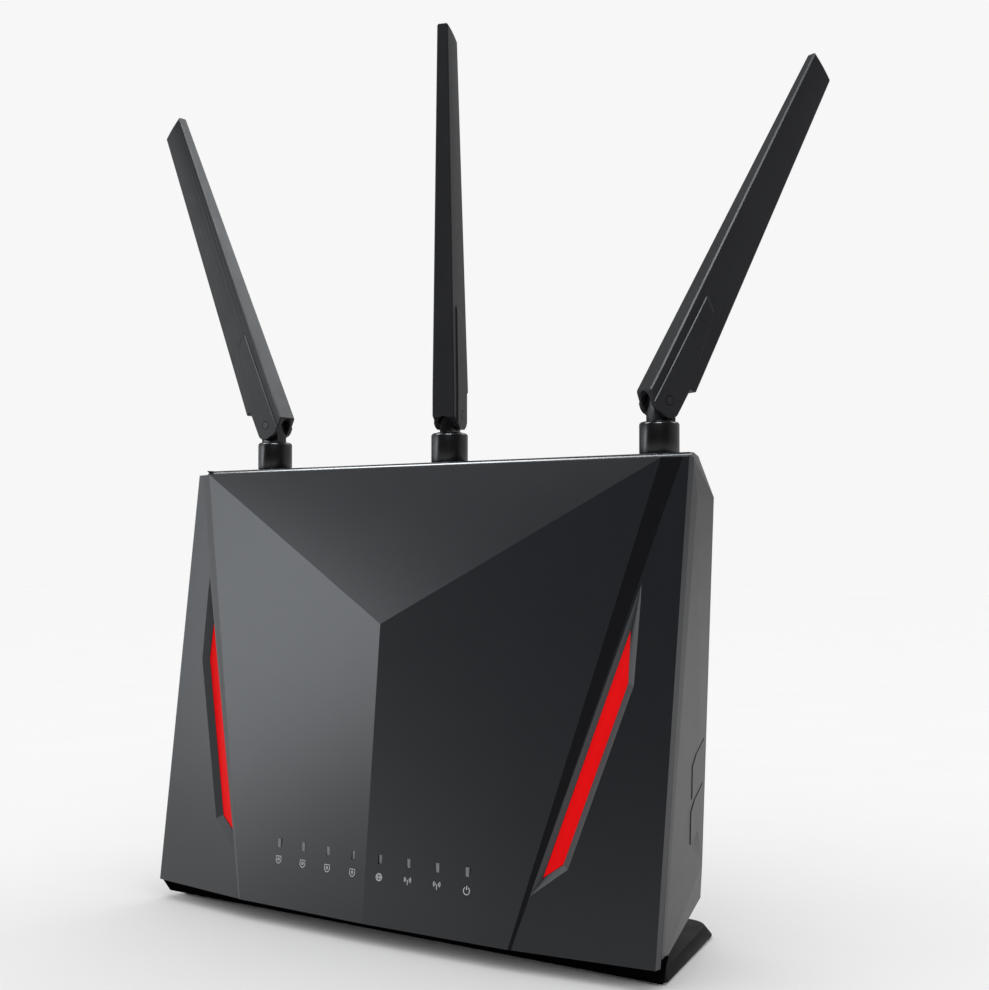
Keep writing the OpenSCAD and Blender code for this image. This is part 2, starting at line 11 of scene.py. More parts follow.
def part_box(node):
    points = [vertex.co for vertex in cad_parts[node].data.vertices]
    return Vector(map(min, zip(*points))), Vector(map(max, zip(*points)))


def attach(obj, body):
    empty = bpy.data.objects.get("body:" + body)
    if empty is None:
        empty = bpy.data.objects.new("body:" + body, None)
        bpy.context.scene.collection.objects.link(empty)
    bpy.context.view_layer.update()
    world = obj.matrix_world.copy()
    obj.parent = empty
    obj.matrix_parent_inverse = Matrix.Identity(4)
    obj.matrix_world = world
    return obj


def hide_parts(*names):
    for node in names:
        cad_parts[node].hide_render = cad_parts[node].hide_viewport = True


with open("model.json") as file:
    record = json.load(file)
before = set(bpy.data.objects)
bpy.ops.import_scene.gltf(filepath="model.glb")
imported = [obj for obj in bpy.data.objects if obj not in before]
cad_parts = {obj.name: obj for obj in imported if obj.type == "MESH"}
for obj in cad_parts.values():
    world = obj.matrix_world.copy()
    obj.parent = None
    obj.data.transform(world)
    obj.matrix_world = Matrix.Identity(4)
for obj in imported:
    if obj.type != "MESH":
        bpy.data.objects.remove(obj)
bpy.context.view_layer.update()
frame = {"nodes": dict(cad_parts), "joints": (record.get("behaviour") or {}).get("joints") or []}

MM = 0.001
HOUSING = "housing"
SIDES = ("left", "middle", "right")

# Lines of the front cover, in millimetres: the cover's box gives its width and height.
cover_low, cover_high = (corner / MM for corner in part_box("front_cover"))
FOOT_Z = cover_low.z
HEAD_Z = cover_high.z
FOOT_X = cover_high.x - 0.9
HEAD_X = cover_high.x
RIDGE_Y = cover_low.y
LIP = 3.0
WALL = 2.4
SIDE_WALL = WALL - 0.2
LEAN = 19.8
FRONT_Y = RIDGE_Y + 7.9
HEAD_Y = FRONT_Y + LEAN
WING_SLOPE = 0.125

RIDGE_FOOT = Vector((0, RIDGE_Y, FOOT_Z))
RIDGE_TOP = Vector((0, RIDGE_Y + 9, FOOT_Z + 100.1))
PANEL_FOOT = Vector((59.7, RIDGE_Y + 1.4, FOOT_Z))
PANEL_HEAD = Vector((102.2, HEAD_Y - 2.8, HEAD_Z))
STEP_FOOT = Vector((60.8, RIDGE_Y + 1.8, FOOT_Z))
STEP_HEAD = Vector((108.5, HEAD_Y - 0.3, HEAD_Z))
WING_FOOT = Vector((FOOT_X, FRONT_Y, FOOT_Z))
WING_HEAD = Vector((HEAD_X, HEAD_Y, HEAD_Z))
PATCH_STEPS = 14

# Accent strip recess, seen from the front: x and z of its rim and of its floor.
STRIP_RIM = ((97.1, 121), (96.8, 90.4), (78.5, 33), (66, 23.7))
STRIP_FACE = ((93.7, 107.3), (94, 90.7), (76.1, 34.3), (69.3, 29.5))
STRIP_DEPTH = 1.5
STRIP_GAP = 0.3
STRIP_GAP_WIDER = 1.4
RECESS_OVERSHOOT = 0.6

LAMP_COUNT = 8
LAMP_PITCH = 12.04
LAMP_Z = 28.6
LAMP_WIDTH = 1.4
LAMP_HEIGHT = 3.2
MARK_DROP = 5.8
MARK_SIZE = 2.4
MARK_STROKE = 0.25
INK_TOP = 0.04
INK_ROOT = -0.1

# How far cutters reach from the middle, past the piece that they cut.
PAST_COVER = 40
PAST_HOUSING = 200
PAST_BLADE = 10


# ---------------------------------------------------------------- materials

# Noise seldom leaves this range, which is spread over the whole of an effect.
NOISE_LOW = 0.3
NOISE_HIGH = 0.7

# Sizes of cloudy colour, of patches of uneven gloss, and of a metal's blotches and brushing.
CLOUD_MM = 24
PATCH_MM = 9
BLOTCH_MM = 6
BRUSH_MM = 0.8

BLOTCH_DARK = 0.85
BRUSH_SMEAR = 0.06
BRUSH_DEPTH_MM = 0.004

TRACKS_PER_METRE = 220
TRACK_WIDTH = 0.03
TRACK_LIGHT = 1.8
MASK_LIGHT = 1.15
MASK_PATCH_MM = 5
MASK_ROUGHNESS = (0.3, 0.4)

LENS_PATCH_MM = 3
LENS_DARK = 0.8


def new_material(name):
    """An empty Principled material and what is needed to wire it."""
    material = bpy.data.materials.new(name)
    material.use_nodes = True
    tree = material.node_tree
    return material, tree.nodes, tree.links, tree.nodes["Principled BSDF"]


def noise(nodes, links, place, size_mm, detail=2.0, roughness=0.5):
    """A noise texture whose features are about size_mm across."""
    texture = nodes.new("ShaderNodeTexNoise")
    texture.inputs["Scale"].default_value = 1 / (size_mm * MM)
    texture.inputs["Detail"].default_value = detail
    texture.inputs["Roughness"].default_value = roughness
    links.new(place, texture.inputs["Vector"])
    return texture.outputs["Fac"]


def spread(nodes, links, value, low, high):
    """A noise value spread from low to high."""
    ramp = nodes.new("ShaderNodeMapRange")
    ramp.inputs["From Min"].default_value = NOISE_LOW
    ramp.inputs["From Max"].default_value = NOISE_HIGH
    ramp.inputs["To Min"].default_value = low
    ramp.inputs["To Max"].default_value = high
    links.new(value, ramp.inputs["Value"])
    return ramp.outputs["Result"]


def mixed(nodes, links, share, first, second):
    """A colour between first and second."""
    mix = nodes.new("ShaderNodeMix")
    mix.data_type = "RGBA"
    mix.inputs["A"].default_value = (*first, 1)
    mix.inputs["B"].default_value = (*second, 1)
    links.new(share, mix.inputs["Factor"])
    return mix.outputs["Result"]


def shade(colour, factor):
    """The colour made darker or lighter by factor."""
    return [c * factor for c in colour]


def bumped(nodes, links, shader, height, depth_mm):
    """Relief on shader from a height map whose full range is depth_mm."""
    bump = nodes.new("ShaderNodeBump")
    bump.inputs["Strength"].default_value = 1.0
    bump.inputs["Distance"].default_value = depth_mm * MM
    links.new(height, bump.inputs["Height"])
    links.new(bump.outputs["Normal"], shader.inputs["Normal"])


def below_and_ahead(nodes, links, place, top_mm, behind_mm):
    """1 where a point is lower than top_mm and further forward than behind_mm, else 0."""
    split = nodes.new("ShaderNodeSeparateXYZ")
    links.new(place, split.inputs["Vector"])
    tests = []
    for axis, limit in (("Z", top_mm), ("Y", behind_mm)):
        test = nodes.new("ShaderNodeMath")
        test.operation = "LESS_THAN"
        test.inputs[1].default_value = limit * MM
        links.new(split.outputs[axis], test.inputs[0])
        tests.append(test.outputs["Value"])
    both = nodes.new("ShaderNodeMath")
    both.operation = "MULTIPLY"
    links.new(tests[0], both.inputs[0])
    links.new(tests[1], both.inputs[1])
    return both.outputs["Value"]


def plastic(
    name, colour, roughness, grain_mm, depth_mm, mottle=0.12, smear=0.025, specular=0.5, chin_shade=None
):
    """Moulded plastic: cloudy colour, uneven gloss and a moulded grain.

    The last argument gives (top_mm, behind_mm, colour) of painted shade low at the front, if there is
    one: a dark matt band where the underside lies in shadow.
    """
    material, nodes, links, shader = new_material(name)
    place = nodes.new("ShaderNodeTexCoord").outputs["Object"]
    cloud = noise(nodes, links, place, CLOUD_MM, detail=3)
    share = spread(nodes, links, cloud, 0, 1)
    tone = mixed(nodes, links, share, shade(colour, 1 - mottle), shade(colour, 1 + mottle))
    # Painted shade: low at the front the colour turns near black and the reflection is switched off,
    # where the shell's underside lies in shadow.
    if chin_shade:
        top, behind, chin_shade_colour = chin_shade
        pick = nodes.new("ShaderNodeMix")
        pick.data_type = "RGBA"
        where = below_and_ahead(nodes, links, place, top, behind)
        links.new(where, pick.inputs["Factor"])
        links.new(tone, pick.inputs["A"])
        pick.inputs["B"].default_value = (*chin_shade_colour, 1)
        tone = pick.outputs["Result"]
        shine = nodes.new("ShaderNodeMapRange")
        shine.inputs["To Min"].default_value = specular
        shine.inputs["To Max"].default_value = 0.0
        links.new(where, shine.inputs["Value"])
        links.new(shine.outputs["Result"], shader.inputs["Specular IOR Level"])
    links.new(tone, shader.inputs["Base Color"])
    patches = noise(nodes, links, place, PATCH_MM, detail=4, roughness=0.6)
    gloss = spread(nodes, links, patches, roughness - smear, roughness + smear)
    links.new(gloss, shader.inputs["Roughness"])
    bumped(nodes, links, shader, noise(nodes, links, place, grain_mm), depth_mm)
    shader.inputs["Specular IOR Level"].default_value = specular
    return material


def metal(name, colour, roughness):
    """Plated or machined metal with faint blotches."""
    material, nodes, links, shader = new_material(name)
    place = nodes.new("ShaderNodeTexCoord").outputs["Object"]
    share = spread(nodes, links, noise(nodes, links, place, BLOTCH_MM, detail=4), 0, 1)
    tone = mixed(nodes, links, share, shade(colour, BLOTCH_DARK), colour)
    links.new(tone, shader.inputs["Base Color"])
    brush = noise(nodes, links, place, BRUSH_MM, detail=3)
    gloss = spread(nodes, links, brush, roughness - BRUSH_SMEAR, roughness + BRUSH_SMEAR)
    links.new(gloss, shader.inputs["Roughness"])
    bumped(nodes, links, shader, brush, BRUSH_DEPTH_MM)
    shader.inputs["Metallic"].default_value = 1.0
    return material


def board_material(name, colour):
    """Circuit board: solder mask over a faint grid of copper tracks."""
    material, nodes, links, shader = new_material(name)
    place = nodes.new("ShaderNodeTexCoord").outputs["Object"]
    tracks = nodes.new("ShaderNodeTexBrick")
    tracks.inputs["Scale"].default_value = TRACKS_PER_METRE
    tracks.inputs["Mortar Size"].default_value = TRACK_WIDTH
    tracks.inputs["Color1"].default_value = (*colour, 1)
    tracks.inputs["Color2"].default_value = (*shade(colour, MASK_LIGHT), 1)
    tracks.inputs["Mortar"].default_value = (*shade(colour, TRACK_LIGHT), 1)
    links.new(place, tracks.inputs["Vector"])
    links.new(tracks.outputs["Color"], shader.inputs["Base Color"])
    gloss = spread(nodes, links, noise(nodes, links, place, MASK_PATCH_MM), *MASK_ROUGHNESS)
    links.new(gloss, shader.inputs["Roughness"])
    return material


def lens_material(name, colour):
    """Unlit lamp window: smoky translucent plastic."""
    material, nodes, links, shader = new_material(name)
    place = nodes.new("ShaderNodeTexCoord").outputs["Object"]
    share = spread(nodes, links, noise(nodes, links, place, LENS_PATCH_MM), 0, 1)
    tone = mixed(nodes, links, share, shade(colour, LENS_DARK), colour)
    links.new(tone, shader.inputs["Base Color"])
    shader.inputs["Roughness"].default_value = 0.25
    shader.inputs["Subsurface Weight"].default_value = 0.2
    shader.inputs["Subsurface Scale"].default_value = 0.001
    return material


COVER = plastic(
    "cover_plastic", (0.0068, 0.0080, 0.0112), 0.28, 0.35, 0.003, mottle=0.04, smear=0.006
)
BEZEL = plastic(
    "bezel_plastic", (0.030, 0.032, 0.036), 0.34, 0.35, 0.003, mottle=0.04, smear=0.006
)
# Painted shade: a darker, duller copy of the cover plastic for the narrow wall between the right facet
# and its wing, which lies in shade.
STEP_SHADE = plastic(
    "step_painted_shade", (0.0030, 0.0032, 0.0042), 0.40, 0.35, 0.003, mottle=0.04, smear=0.006,
    specular=0.12,
)
SHELL_GREY = (0.010, 0.011, 0.013)
# Painted shade: the shell's band low at the front is painted near black and matt, because its underside
# lies in shadow.
CHIN_TOP = 9.45
CHIN_BEHIND = -5.5
CHIN_SHADE_COLOUR = (0.0015, 0.0015, 0.0018)
SHELL = plastic(
    "shell_plastic", SHELL_GREY, 0.40, 0.55, 0.02, mottle=0.05, smear=0.01,
    specular=0.44, chin_shade=(CHIN_TOP, CHIN_BEHIND, CHIN_SHADE_COLOUR),
)
RIM = plastic("rim_plastic", SHELL_GREY, 0.20, 0.55, 0.004, mottle=0.05, specular=0.9)
STAND = plastic("stand_plastic", (0.005, 0.005, 0.006), 0.5, 0.6, 0.02, specular=0.06)
RUBBER = plastic("rubber", (0.012, 0.012, 0.012), 0.85, 0.8, 0.03, specular=0.3)
ANTENNA = plastic(
    "antenna_plastic", (0.0135, 0.0140, 0.0160), 0.36, 0.45, 0.03, mottle=0.08, specular=0.22
)
COLLAR = plastic("collar_plastic", (0.004, 0.004, 0.005), 0.25, 0.5, 0.006)
BLACK = plastic("black_plastic", (0.016, 0.016, 0.017), 0.4, 0.5, 0.01)
RED = plastic("accent_red", (0.80, 0.0015, 0.003), 0.34, 0.6, 0.004, mottle=0.04, specular=0.06)
LENS = lens_material("lamp_lens", (0.17, 0.175, 0.18))
PRINT = plastic("printed_mark", (0.46, 0.47, 0.48), 0.5, 0.2, 0.002, mottle=0.05)
STEEL = metal("plated_steel", (0.62, 0.63, 0.65), 0.3)
DARK_STEEL = metal("dark_pin", (0.05, 0.05, 0.055), 0.45)
ALUMINIUM = metal("heatsink_aluminium", (0.66, 0.67, 0.68), 0.42)
BRASS = metal("brass", (0.72, 0.52, 0.22), 0.3)
BOARD = board_material("board_green", (0.012, 0.075, 0.032))
CHIP = plastic("chip_black", (0.015, 0.015, 0.016), 0.55, 0.3, 0.006)
PAD = plastic("pad_grey", (0.32, 0.34, 0.38), 0.8, 0.6, 0.01, specular=0.3)
CABLE = plastic("cable_black", (0.012, 0.012, 0.012), 0.45, 0.6, 0.004)


# ------------------------------------------------------------------- meshes

# The cover's materials by number.
COVER_SLOTS = (COVER, BEZEL, STEP_SHADE)
BEZEL_SLOT = 1
STEP_SHADE_SLOT = 2

# The narrow wall between the right facet and its wing is painted in shade with a darker, duller copy of
# the cover plastic; it is the one front face whose normal points to the right by more than STEP_RIGHT
# and still to the front.
STEP_RIGHT = 0.3
STEP_FRONT = -0.8

SHARP_DEG = 30
FLAT_DEG = 1.2
WELD_MM = 0.002


def add_object(name, mesh, materials):
    """A scene object of that mesh."""
    thing = bpy.data.objects.new(name, mesh)
    bpy.context.scene.collection.objects.link(thing)
    for material in materials:
        mesh.materials.append(material)
    return thing


def mesh_from(name, points_mm, faces):
    """A mesh from points in millimetres and faces of their indices, with outward normals."""
    shape = bmesh.new()
    corners = [shape.verts.new(Vector(p) * MM) for p in points_mm]
    for face in faces:
        shape.faces.new([corners[i] for i in face])
    bmesh.ops.remove_doubles(shape, verts=shape.verts, dist=1e-6)
    bmesh.ops.recalc_face_normals(shape, faces=shape.faces)
    mesh = bpy.data.meshes.new(name)
    shape.to_mesh(mesh)
    shape.free()
    return mesh


def soften(thing, width_mm, angle_deg):
    """Rounds the edges of thing sharper than angle_deg, and shades it smooth between them."""
    for polygon in thing.data.polygons:
        polygon.use_smooth = True
    bevel = thing.modifiers.new("edge_round", "BEVEL")
    bevel.width = width_mm * MM
    bevel.segments = 2
    bevel.limit_method = "ANGLE"
    bevel.angle_limit = math.radians(angle_deg)
    bevel.harden_normals = True
    bevel.use_clamp_overlap = True
    bevel.miter_outer = "MITER_ARC"


def chamfer(thing, width_mm, angle_deg):
    """Breaks the edges of thing sharper than angle_deg with narrow flats, which catch the light."""
    bevel = thing.modifiers.new("edge_break", "BEVEL")
    bevel.width = width_mm * MM
    bevel.segments = 1
    bevel.limit_method = "ANGLE"
    bevel.angle_limit = math.radians(angle_deg)
    bevel.use_clamp_overlap = True


def dress(node, material, width_mm, faceted):
    """Gives a CAD node its material and, with a width, rounded or, where faceted, broken edges."""
    thing = frame["nodes"][node]
    thing.data.materials.clear()
    thing.data.materials.append(material)
    if width_mm:
        weld = thing.modifiers.new("weld", "WELD")
        weld.merge_threshold = WELD_MM * MM
        if faceted:
            chamfer(thing, width_mm, SHARP_DEG)
        else:
            flat = thing.modifiers.new("flats", "DECIMATE")
            flat.decimate_type = "DISSOLVE"
            flat.angle_limit = math.radians(FLAT_DEG)
            soften(thing, width_mm, SHARP_DEG)


def cut(thing, cutter, operation="DIFFERENCE"):
    """Takes the cutter out of thing, or with INTERSECT keeps what lies inside it, and bakes that.

    Faces that the cutter leaves behind keep its material numbers.
    """
    carve = thing.modifiers.new("carve", "BOOLEAN")
    carve.operation = operation
    carve.solver = "EXACT"
    carve.object = cutter
    bpy.context.view_layer.update()
    final = thing.evaluated_get(bpy.context.evaluated_depsgraph_get())
    mesh = bpy.data.meshes.new_from_object(final)
    thing.modifiers.clear()
    thing.data = mesh
    bpy.data.objects.remove(cutter)


def paint(mesh, slot):
    """Gives every face of mesh the material of that number."""
    for polygon in mesh.polygons:
        polygon.material_index = slot


def rectangle(left, low, right, high):
    """Outline of a rectangle in x and z."""
    return [(left, low), (right, low), (right, high), (left, high)]


def mirrored(p):
    """The point's mirror image on the other side."""
    return Vector((-p[0], p[1], p[2]))


def rear_edge_y(z):
    """y of the plane through the cover's outer edges."""
    return FRONT_Y + (HEAD_Y - FRONT_Y) * (z - FOOT_Z) / (HEAD_Z - FOOT_Z)


def wing_y(x, z):
    """y of the wing's surface."""
    return rear_edge_y(z) - WING_SLOPE * (FOOT_X - x)


def panel_point(across, up):
    """Point of the right front facet: across from the ridge, up from the foot, each 0 to 1."""
    low = RIDGE_FOOT.lerp(PANEL_FOOT, across)
    high = RIDGE_TOP.lerp(PANEL_HEAD, across)
    return low.lerp(high, up)


NUDGE = 1e-3
NEWTON_STEPS = 12


def panel_y(x, z):
    """y of the front facets at x and z, by Newton steps on the facet's two shares."""
    across, up = 0.5, 0.2
    for _ in range(NEWTON_STEPS):
        here = panel_point(across, up)
        ahead = panel_point(across + NUDGE, up) - here
        above = panel_point(across, up + NUDGE) - here
        slope = Matrix(((ahead.x, above.x), (ahead.z, above.z))) * (1 / NUDGE)
        step = slope.inverted() @ Vector((abs(x) - here.x, z - here.z))
        across += step.x
        up += step.y
    return panel_point(across, up).y


def cover_block(shift, foot_z, head_z, side_in):
    """Closed block behind the cover's front faces, moved back by shift and, with side_in, trimmed."""
    points = []
    faces = []

    def point(p):
        """Adds a point, moved back by shift, and returns its number."""
        points.append(Vector((p[0], p[1] + shift, p[2])))
        return len(points) - 1

    def strip(first, second):
        """Adds the faces between two rows of points."""
        for i in range(len(first) - 1):
            faces.append((first[i], first[i + 1], second[i + 1], second[i]))

    steps = range(PATCH_STEPS + 1)
    shares = [i / PATCH_STEPS for i in steps]
    rims = {}
    for side, place in (("right", Vector), ("left", mirrored)):
        grid = [[point(place(panel_point(a, u))) for u in shares] for a in shares]
        for first, second in zip(grid, grid[1:]):
            strip(first, second)
        wall = [point(place(STEP_FOOT.lerp(STEP_HEAD, u))) for u in shares]
        strip(grid[-1], wall)
        edge = [point(place(p)) for p in (WING_FOOT, WING_HEAD)]
        faces.append((*wall, edge[1], edge[0]))
        back = [point(place(p + Vector((0, LIP, 0)))) for p in (WING_FOOT, WING_HEAD)]
        faces.append((edge[0], edge[1], back[1], back[0]))
        rims[side] = {
            "foot": [row[0] for row in grid] + [wall[0], edge[0], back[0]],
            "head": [edge[1], wall[-1]],
            "slant": [row[-1] for row in grid],
            "back": back,
        }
    right, left = rims["right"], rims["left"]
    # the upper facet runs between the slanted edges of both front facets
    faces.append(left["slant"][::-1] + right["slant"][1:])
    faces.append(right["foot"] + left["foot"][:0:-1])
    faces.append(
        [right["slant"][-1]] + right["head"][::-1] + [right["back"][1], left["back"][1]]
        + left["head"] + [left["slant"][-1]]
    )
    faces.append(right["back"] + left["back"][::-1])
    mesh = mesh_from("cover", points, faces)
    for polygon in mesh.polygons:
        # painted shade: the right-hand narrow wall takes the darker copy of the cover plastic
        if polygon.normal.x > STEP_RIGHT and polygon.normal.y < STEP_FRONT:
            polygon.material_index = STEP_SHADE_SLOT
    block = add_object("cover_block", mesh, COVER_SLOTS)
    if side_in:
        trim(block, foot_z, head_z, side_in)
    return block


def trim(block, foot_z, head_z, side_in):
    """Keeps what of block lies between two heights and inside the side walls."""
    half = FOOT_X - side_in
    outline = rectangle(-half, foot_z, half, head_z)
    mesh = prism_mesh("room", outline, -PAST_HOUSING, PAST_HOUSING)
    cut(block, add_object("room", mesh, [COVER]), "INTERSECT")


def prism_mesh(name, outline, front, back):
    """Solid of an outline in x and z between y = front and y = back."""
    count = len(outline)
    points = [(x, front, z) for x, z in outline] + [(x, back, z) for x, z in outline]
    sides = [(i, (i + 1) % count, count + (i + 1) % count, count + i) for i in range(count)]
    return mesh_from(name, points, [range(count), range(2 * count - 1, count - 1, -1), *sides])


def recess_mesh(side):
    """Cutter of one accent strip's recess: its slanted walls run on past the wing's face."""
    near, deep = [], []
    for (rx, rz), (fx, fz) in zip(STRIP_RIM, STRIP_FACE):
        rim = Vector((rx, wing_y(rx, rz), rz))
        floor = Vector((fx, wing_y(fx, fz) + STRIP_DEPTH, fz))
        near.append(rim + (rim - floor) * RECESS_OVERSHOOT)
        deep.append(floor)
    points = [Vector((side * p.x, p.y, p.z)) for p in near + deep]
    walls = [(i, (i + 1) % 4, 4 + (i + 1) % 4, 4 + i) for i in range(4)]
    mesh = mesh_from("recess", points, [range(4), (7, 6, 5, 4), *walls])
    paint(mesh, BEZEL_SLOT)
    return mesh


def grown(outline, margin):
    """An outline with its corners moved away from its middle, by margin in z and more in x."""
    middle_x = sum(x for x, _ in outline) / len(outline)
    middle_z = sum(z for _, z in outline) / len(outline)
    moved = []
    for x, z in outline:
        away = Vector((x - middle_x, z - middle_z)).normalized() * margin
        moved.append((x + away.x * STRIP_GAP_WIDER, z + away.y))
    return moved


def lamp_x(i):
    """x of the middle of lamp slot i."""
    return (i - (LAMP_COUNT - 1) / 2) * LAMP_PITCH


COVER_EDGE = 0.3
COVER_CREASE_DEG = 1.6


def build_cover():
    """The front cover with its facets, strip recesses and lamp slots."""
    cover = cover_block(0, FOOT_Z, HEAD_Z, 0)
    cut(cover, cover_block(WALL, FOOT_Z + SIDE_WALL, HEAD_Z - SIDE_WALL, SIDE_WALL))
    for side in (-1, 1):
        cut(cover, add_object("recess", recess_mesh(side), COVER_SLOTS))
        window = [(side * x, z) for x, z in grown(STRIP_FACE, STRIP_GAP)]
        mesh = prism_mesh("window", window, -PAST_COVER, PAST_COVER)
        paint(mesh, BEZEL_SLOT)
        cut(cover, add_object("window", mesh, COVER_SLOTS))
    w, h = LAMP_WIDTH / 2, LAMP_HEIGHT / 2
    for i in range(LAMP_COUNT):
        x = lamp_x(i)
        outline = rectangle(x - w, LAMP_Z - h, x + w, LAMP_Z + h)
        mesh = prism_mesh("slot", outline, -PAST_COVER, 0)
        cut(cover, add_object("slot", mesh, COVER_SLOTS))
    cover.name = "cover_facets"
    soften(cover, COVER_EDGE, COVER_CREASE_DEG)
    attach(cover, HOUSING)
    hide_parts("front_cover")


build_cover()


# -------------------------------------------------------------- printed marks


def ribbon(points, width, closed):
    """Corners and faces of a flat stroke of that width along points, in x and z."""
    count = len(points)
    left, right = [], []
    for i, p in enumerate(points):
        before = points[(i - 1) % count] if closed or i else p
        after = points[(i + 1) % count] if closed or i < count - 1 else p
        run = Vector((after[0] - before[0], after[1] - before[1])).normalized()
        normal = Vector((-run.y, run.x)) * width / 2
        left.append((p[0] + normal.x, p[1] + normal.y))
        right.append((p[0] - normal.x, p[1] - normal.y))
    last = count if closed else count - 1
    faces = [(i, (i + 1) % count, count + (i + 1) % count, count + i) for i in range(last)]
    return left + right, faces


def arc(centre, radius, start, end, steps):
    """Points of an arc, angles in degrees from +x towards +z."""
    angles = [math.radians(start + (end - start) * i / steps) for i in range(steps + 1)]
    return [(centre[0] + radius * math.cos(a), centre[1] + radius * math.sin(a)) for a in angles]


def port_mark():
    """Socket outline with a contact dot."""
    half = MARK_SIZE / 2
    cut_in = 0.8
    outline = [
        (-half, half), (half, half), (half, -half + cut_in), (half - cut_in, -half),
        (-half + cut_in, -half), (-half, -half + cut_in),
    ]
    return [(outline, True), (arc((0, 0.15), 0.42, 0, 330, 8), True)]


def globe_mark():
    """Globe: circle, meridian and equator."""
    half = MARK_SIZE / 2
    narrow = 0.45 * half
    angles = [math.radians(i * 20) for i in range(18)]
    meridian = [(narrow * math.cos(a), half * math.sin(a)) for a in angles]
    return [
        (arc((0, 0), half, 0, 340, 17), True),
        (meridian, True),
        ([(-half, 0), (half, 0)], False),
    ]


def radio_mark():
    """Mast with waves on both sides."""
    waves = []
    for radius in (0.75, 1.35):
        waves.append((arc((0, 0.5), radius, -38, 38, 6), False))
        waves.append((arc((0, 0.5), radius, 142, 218, 6), False))
    return [([(0, -MARK_SIZE / 2), (0, 0.5)], False), *waves]


def power_mark():
    """Broken circle with a bar."""
    return [(arc((0, -0.15), 1.2, 120, 420, 16), False), ([(0, 0.1), (0, 1.5)], False)]


def build_marks():
    """Printed marks under the lamps, as thin ink lying on the facets."""
    kinds = [port_mark] * 4 + [globe_mark, radio_mark, radio_mark, power_mark]
    points, faces = [], []
    for i, kind in enumerate(kinds):
        middle_x = lamp_x(i)
        middle_z = LAMP_Z - MARK_DROP
        for path, closed in kind():
            corners, strips = ribbon(path, MARK_STROKE, closed)
            for lift in (INK_TOP, INK_ROOT):
                start = len(points)
                for x, z in corners:
                    x += middle_x
                    z += middle_z
                    points.append((x, panel_y(x, z) - lift, z))
                faces += [[start + j for j in face] for face in strips]
            # side walls between the two layers
            size = len(corners)
            half = size // 2
            base = len(points) - 2 * size
            loops = [list(range(half)), list(range(half, size))]
            for loop in loops:
                ends = list(zip(loop, loop[1:] + loop[:1])) if closed else list(zip(loop, loop[1:]))
                faces += [[base + a, base + b, base + size + b, base + size + a] for a, b in ends]
            if not closed:
                for a, b in ((0, half), (half - 1, size - 1)):
                    faces.append([base + a, base + b, base + size + b, base + size + a])
    marks = add_object("printed_marks", mesh_from("marks", points, faces), [PRINT])
    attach(marks, HOUSING)


build_marks()


# ------------------------------------------------------------------- antennas

# The origin is the middle of the hinge pin, y runs along the pin and z up the blade.
BODY_FOOT = 8.2
BODY_HALF = 4.2
TIP_HEIGHT = 141.2
TIP_HALF = 2.0
BODY_FOOT_X = (-8.1, 7.9)
TIP_CORNERS = ((-9.4, TIP_HEIGHT), (1.2, TIP_HEIGHT - 4.2))
HEEL = ((-8.1, -1), (-3.6, -4.8))
BODY_SHARES = (0, 0.14, 0.28125, 0.42, 0.57, 0.72, 0.86, 1)
TIP_DOME = 0.3
PANEL_FOOT_Z = 8.3
PANEL_HEAD_Z = 40.0
PANEL_RAISE = 0.5
PANEL_CHAMFER = 1.5
PANEL_SINK = 0.1
PANEL_CORNERS = (
    (-5, PANEL_HEAD_Z), (-5, PANEL_FOOT_Z), (-5, -3.6), (-3.6, -4.8), (-2.2, -5.4), (2.6, -5.4),
    (4.4, -4.1), (5.2, -2.6), (5.2, PANEL_FOOT_Z), (0.6, PANEL_HEAD_Z - 3.6),
)
PANEL_PATCHES = ((0, 1, 8, 9), (1, 2, 3, 4, 5, 6, 7, 8))
SLOT_HALF = 2.65
SLOT_ARCH_Z = -3.5
SLOT_ARCH_FRONT = -4
SLOT_SPAN = (-6, -9, 9, 6.2)
PIN_RING = 1.62
PIN_STEPS = 32
ARCH_STEPS = 12
BLADE_FLAT = 0.45
PANEL_FLAT = 0.28
BLADE_SHARP_DEG = 20


def body_half(z):
    """Half thickness of the blade's body."""
    return BODY_HALF - (BODY_HALF - TIP_HALF) * max(0, z - BODY_FOOT) / (TIP_HEIGHT - BODY_FOOT)


def plate_mesh(name, near, far, patches, rim):
    """Solid between a near and a far face, both made of the same patches of points."""
    count = len(near)
    faces = list(patches)
    faces += [[count + i for i in reversed(patch)] for patch in patches]
    faces += [(a, b, count + b, count + a) for a, b in zip(rim, rim[1:] + rim[:1])]
    return mesh_from(name, [*near, *far], faces)


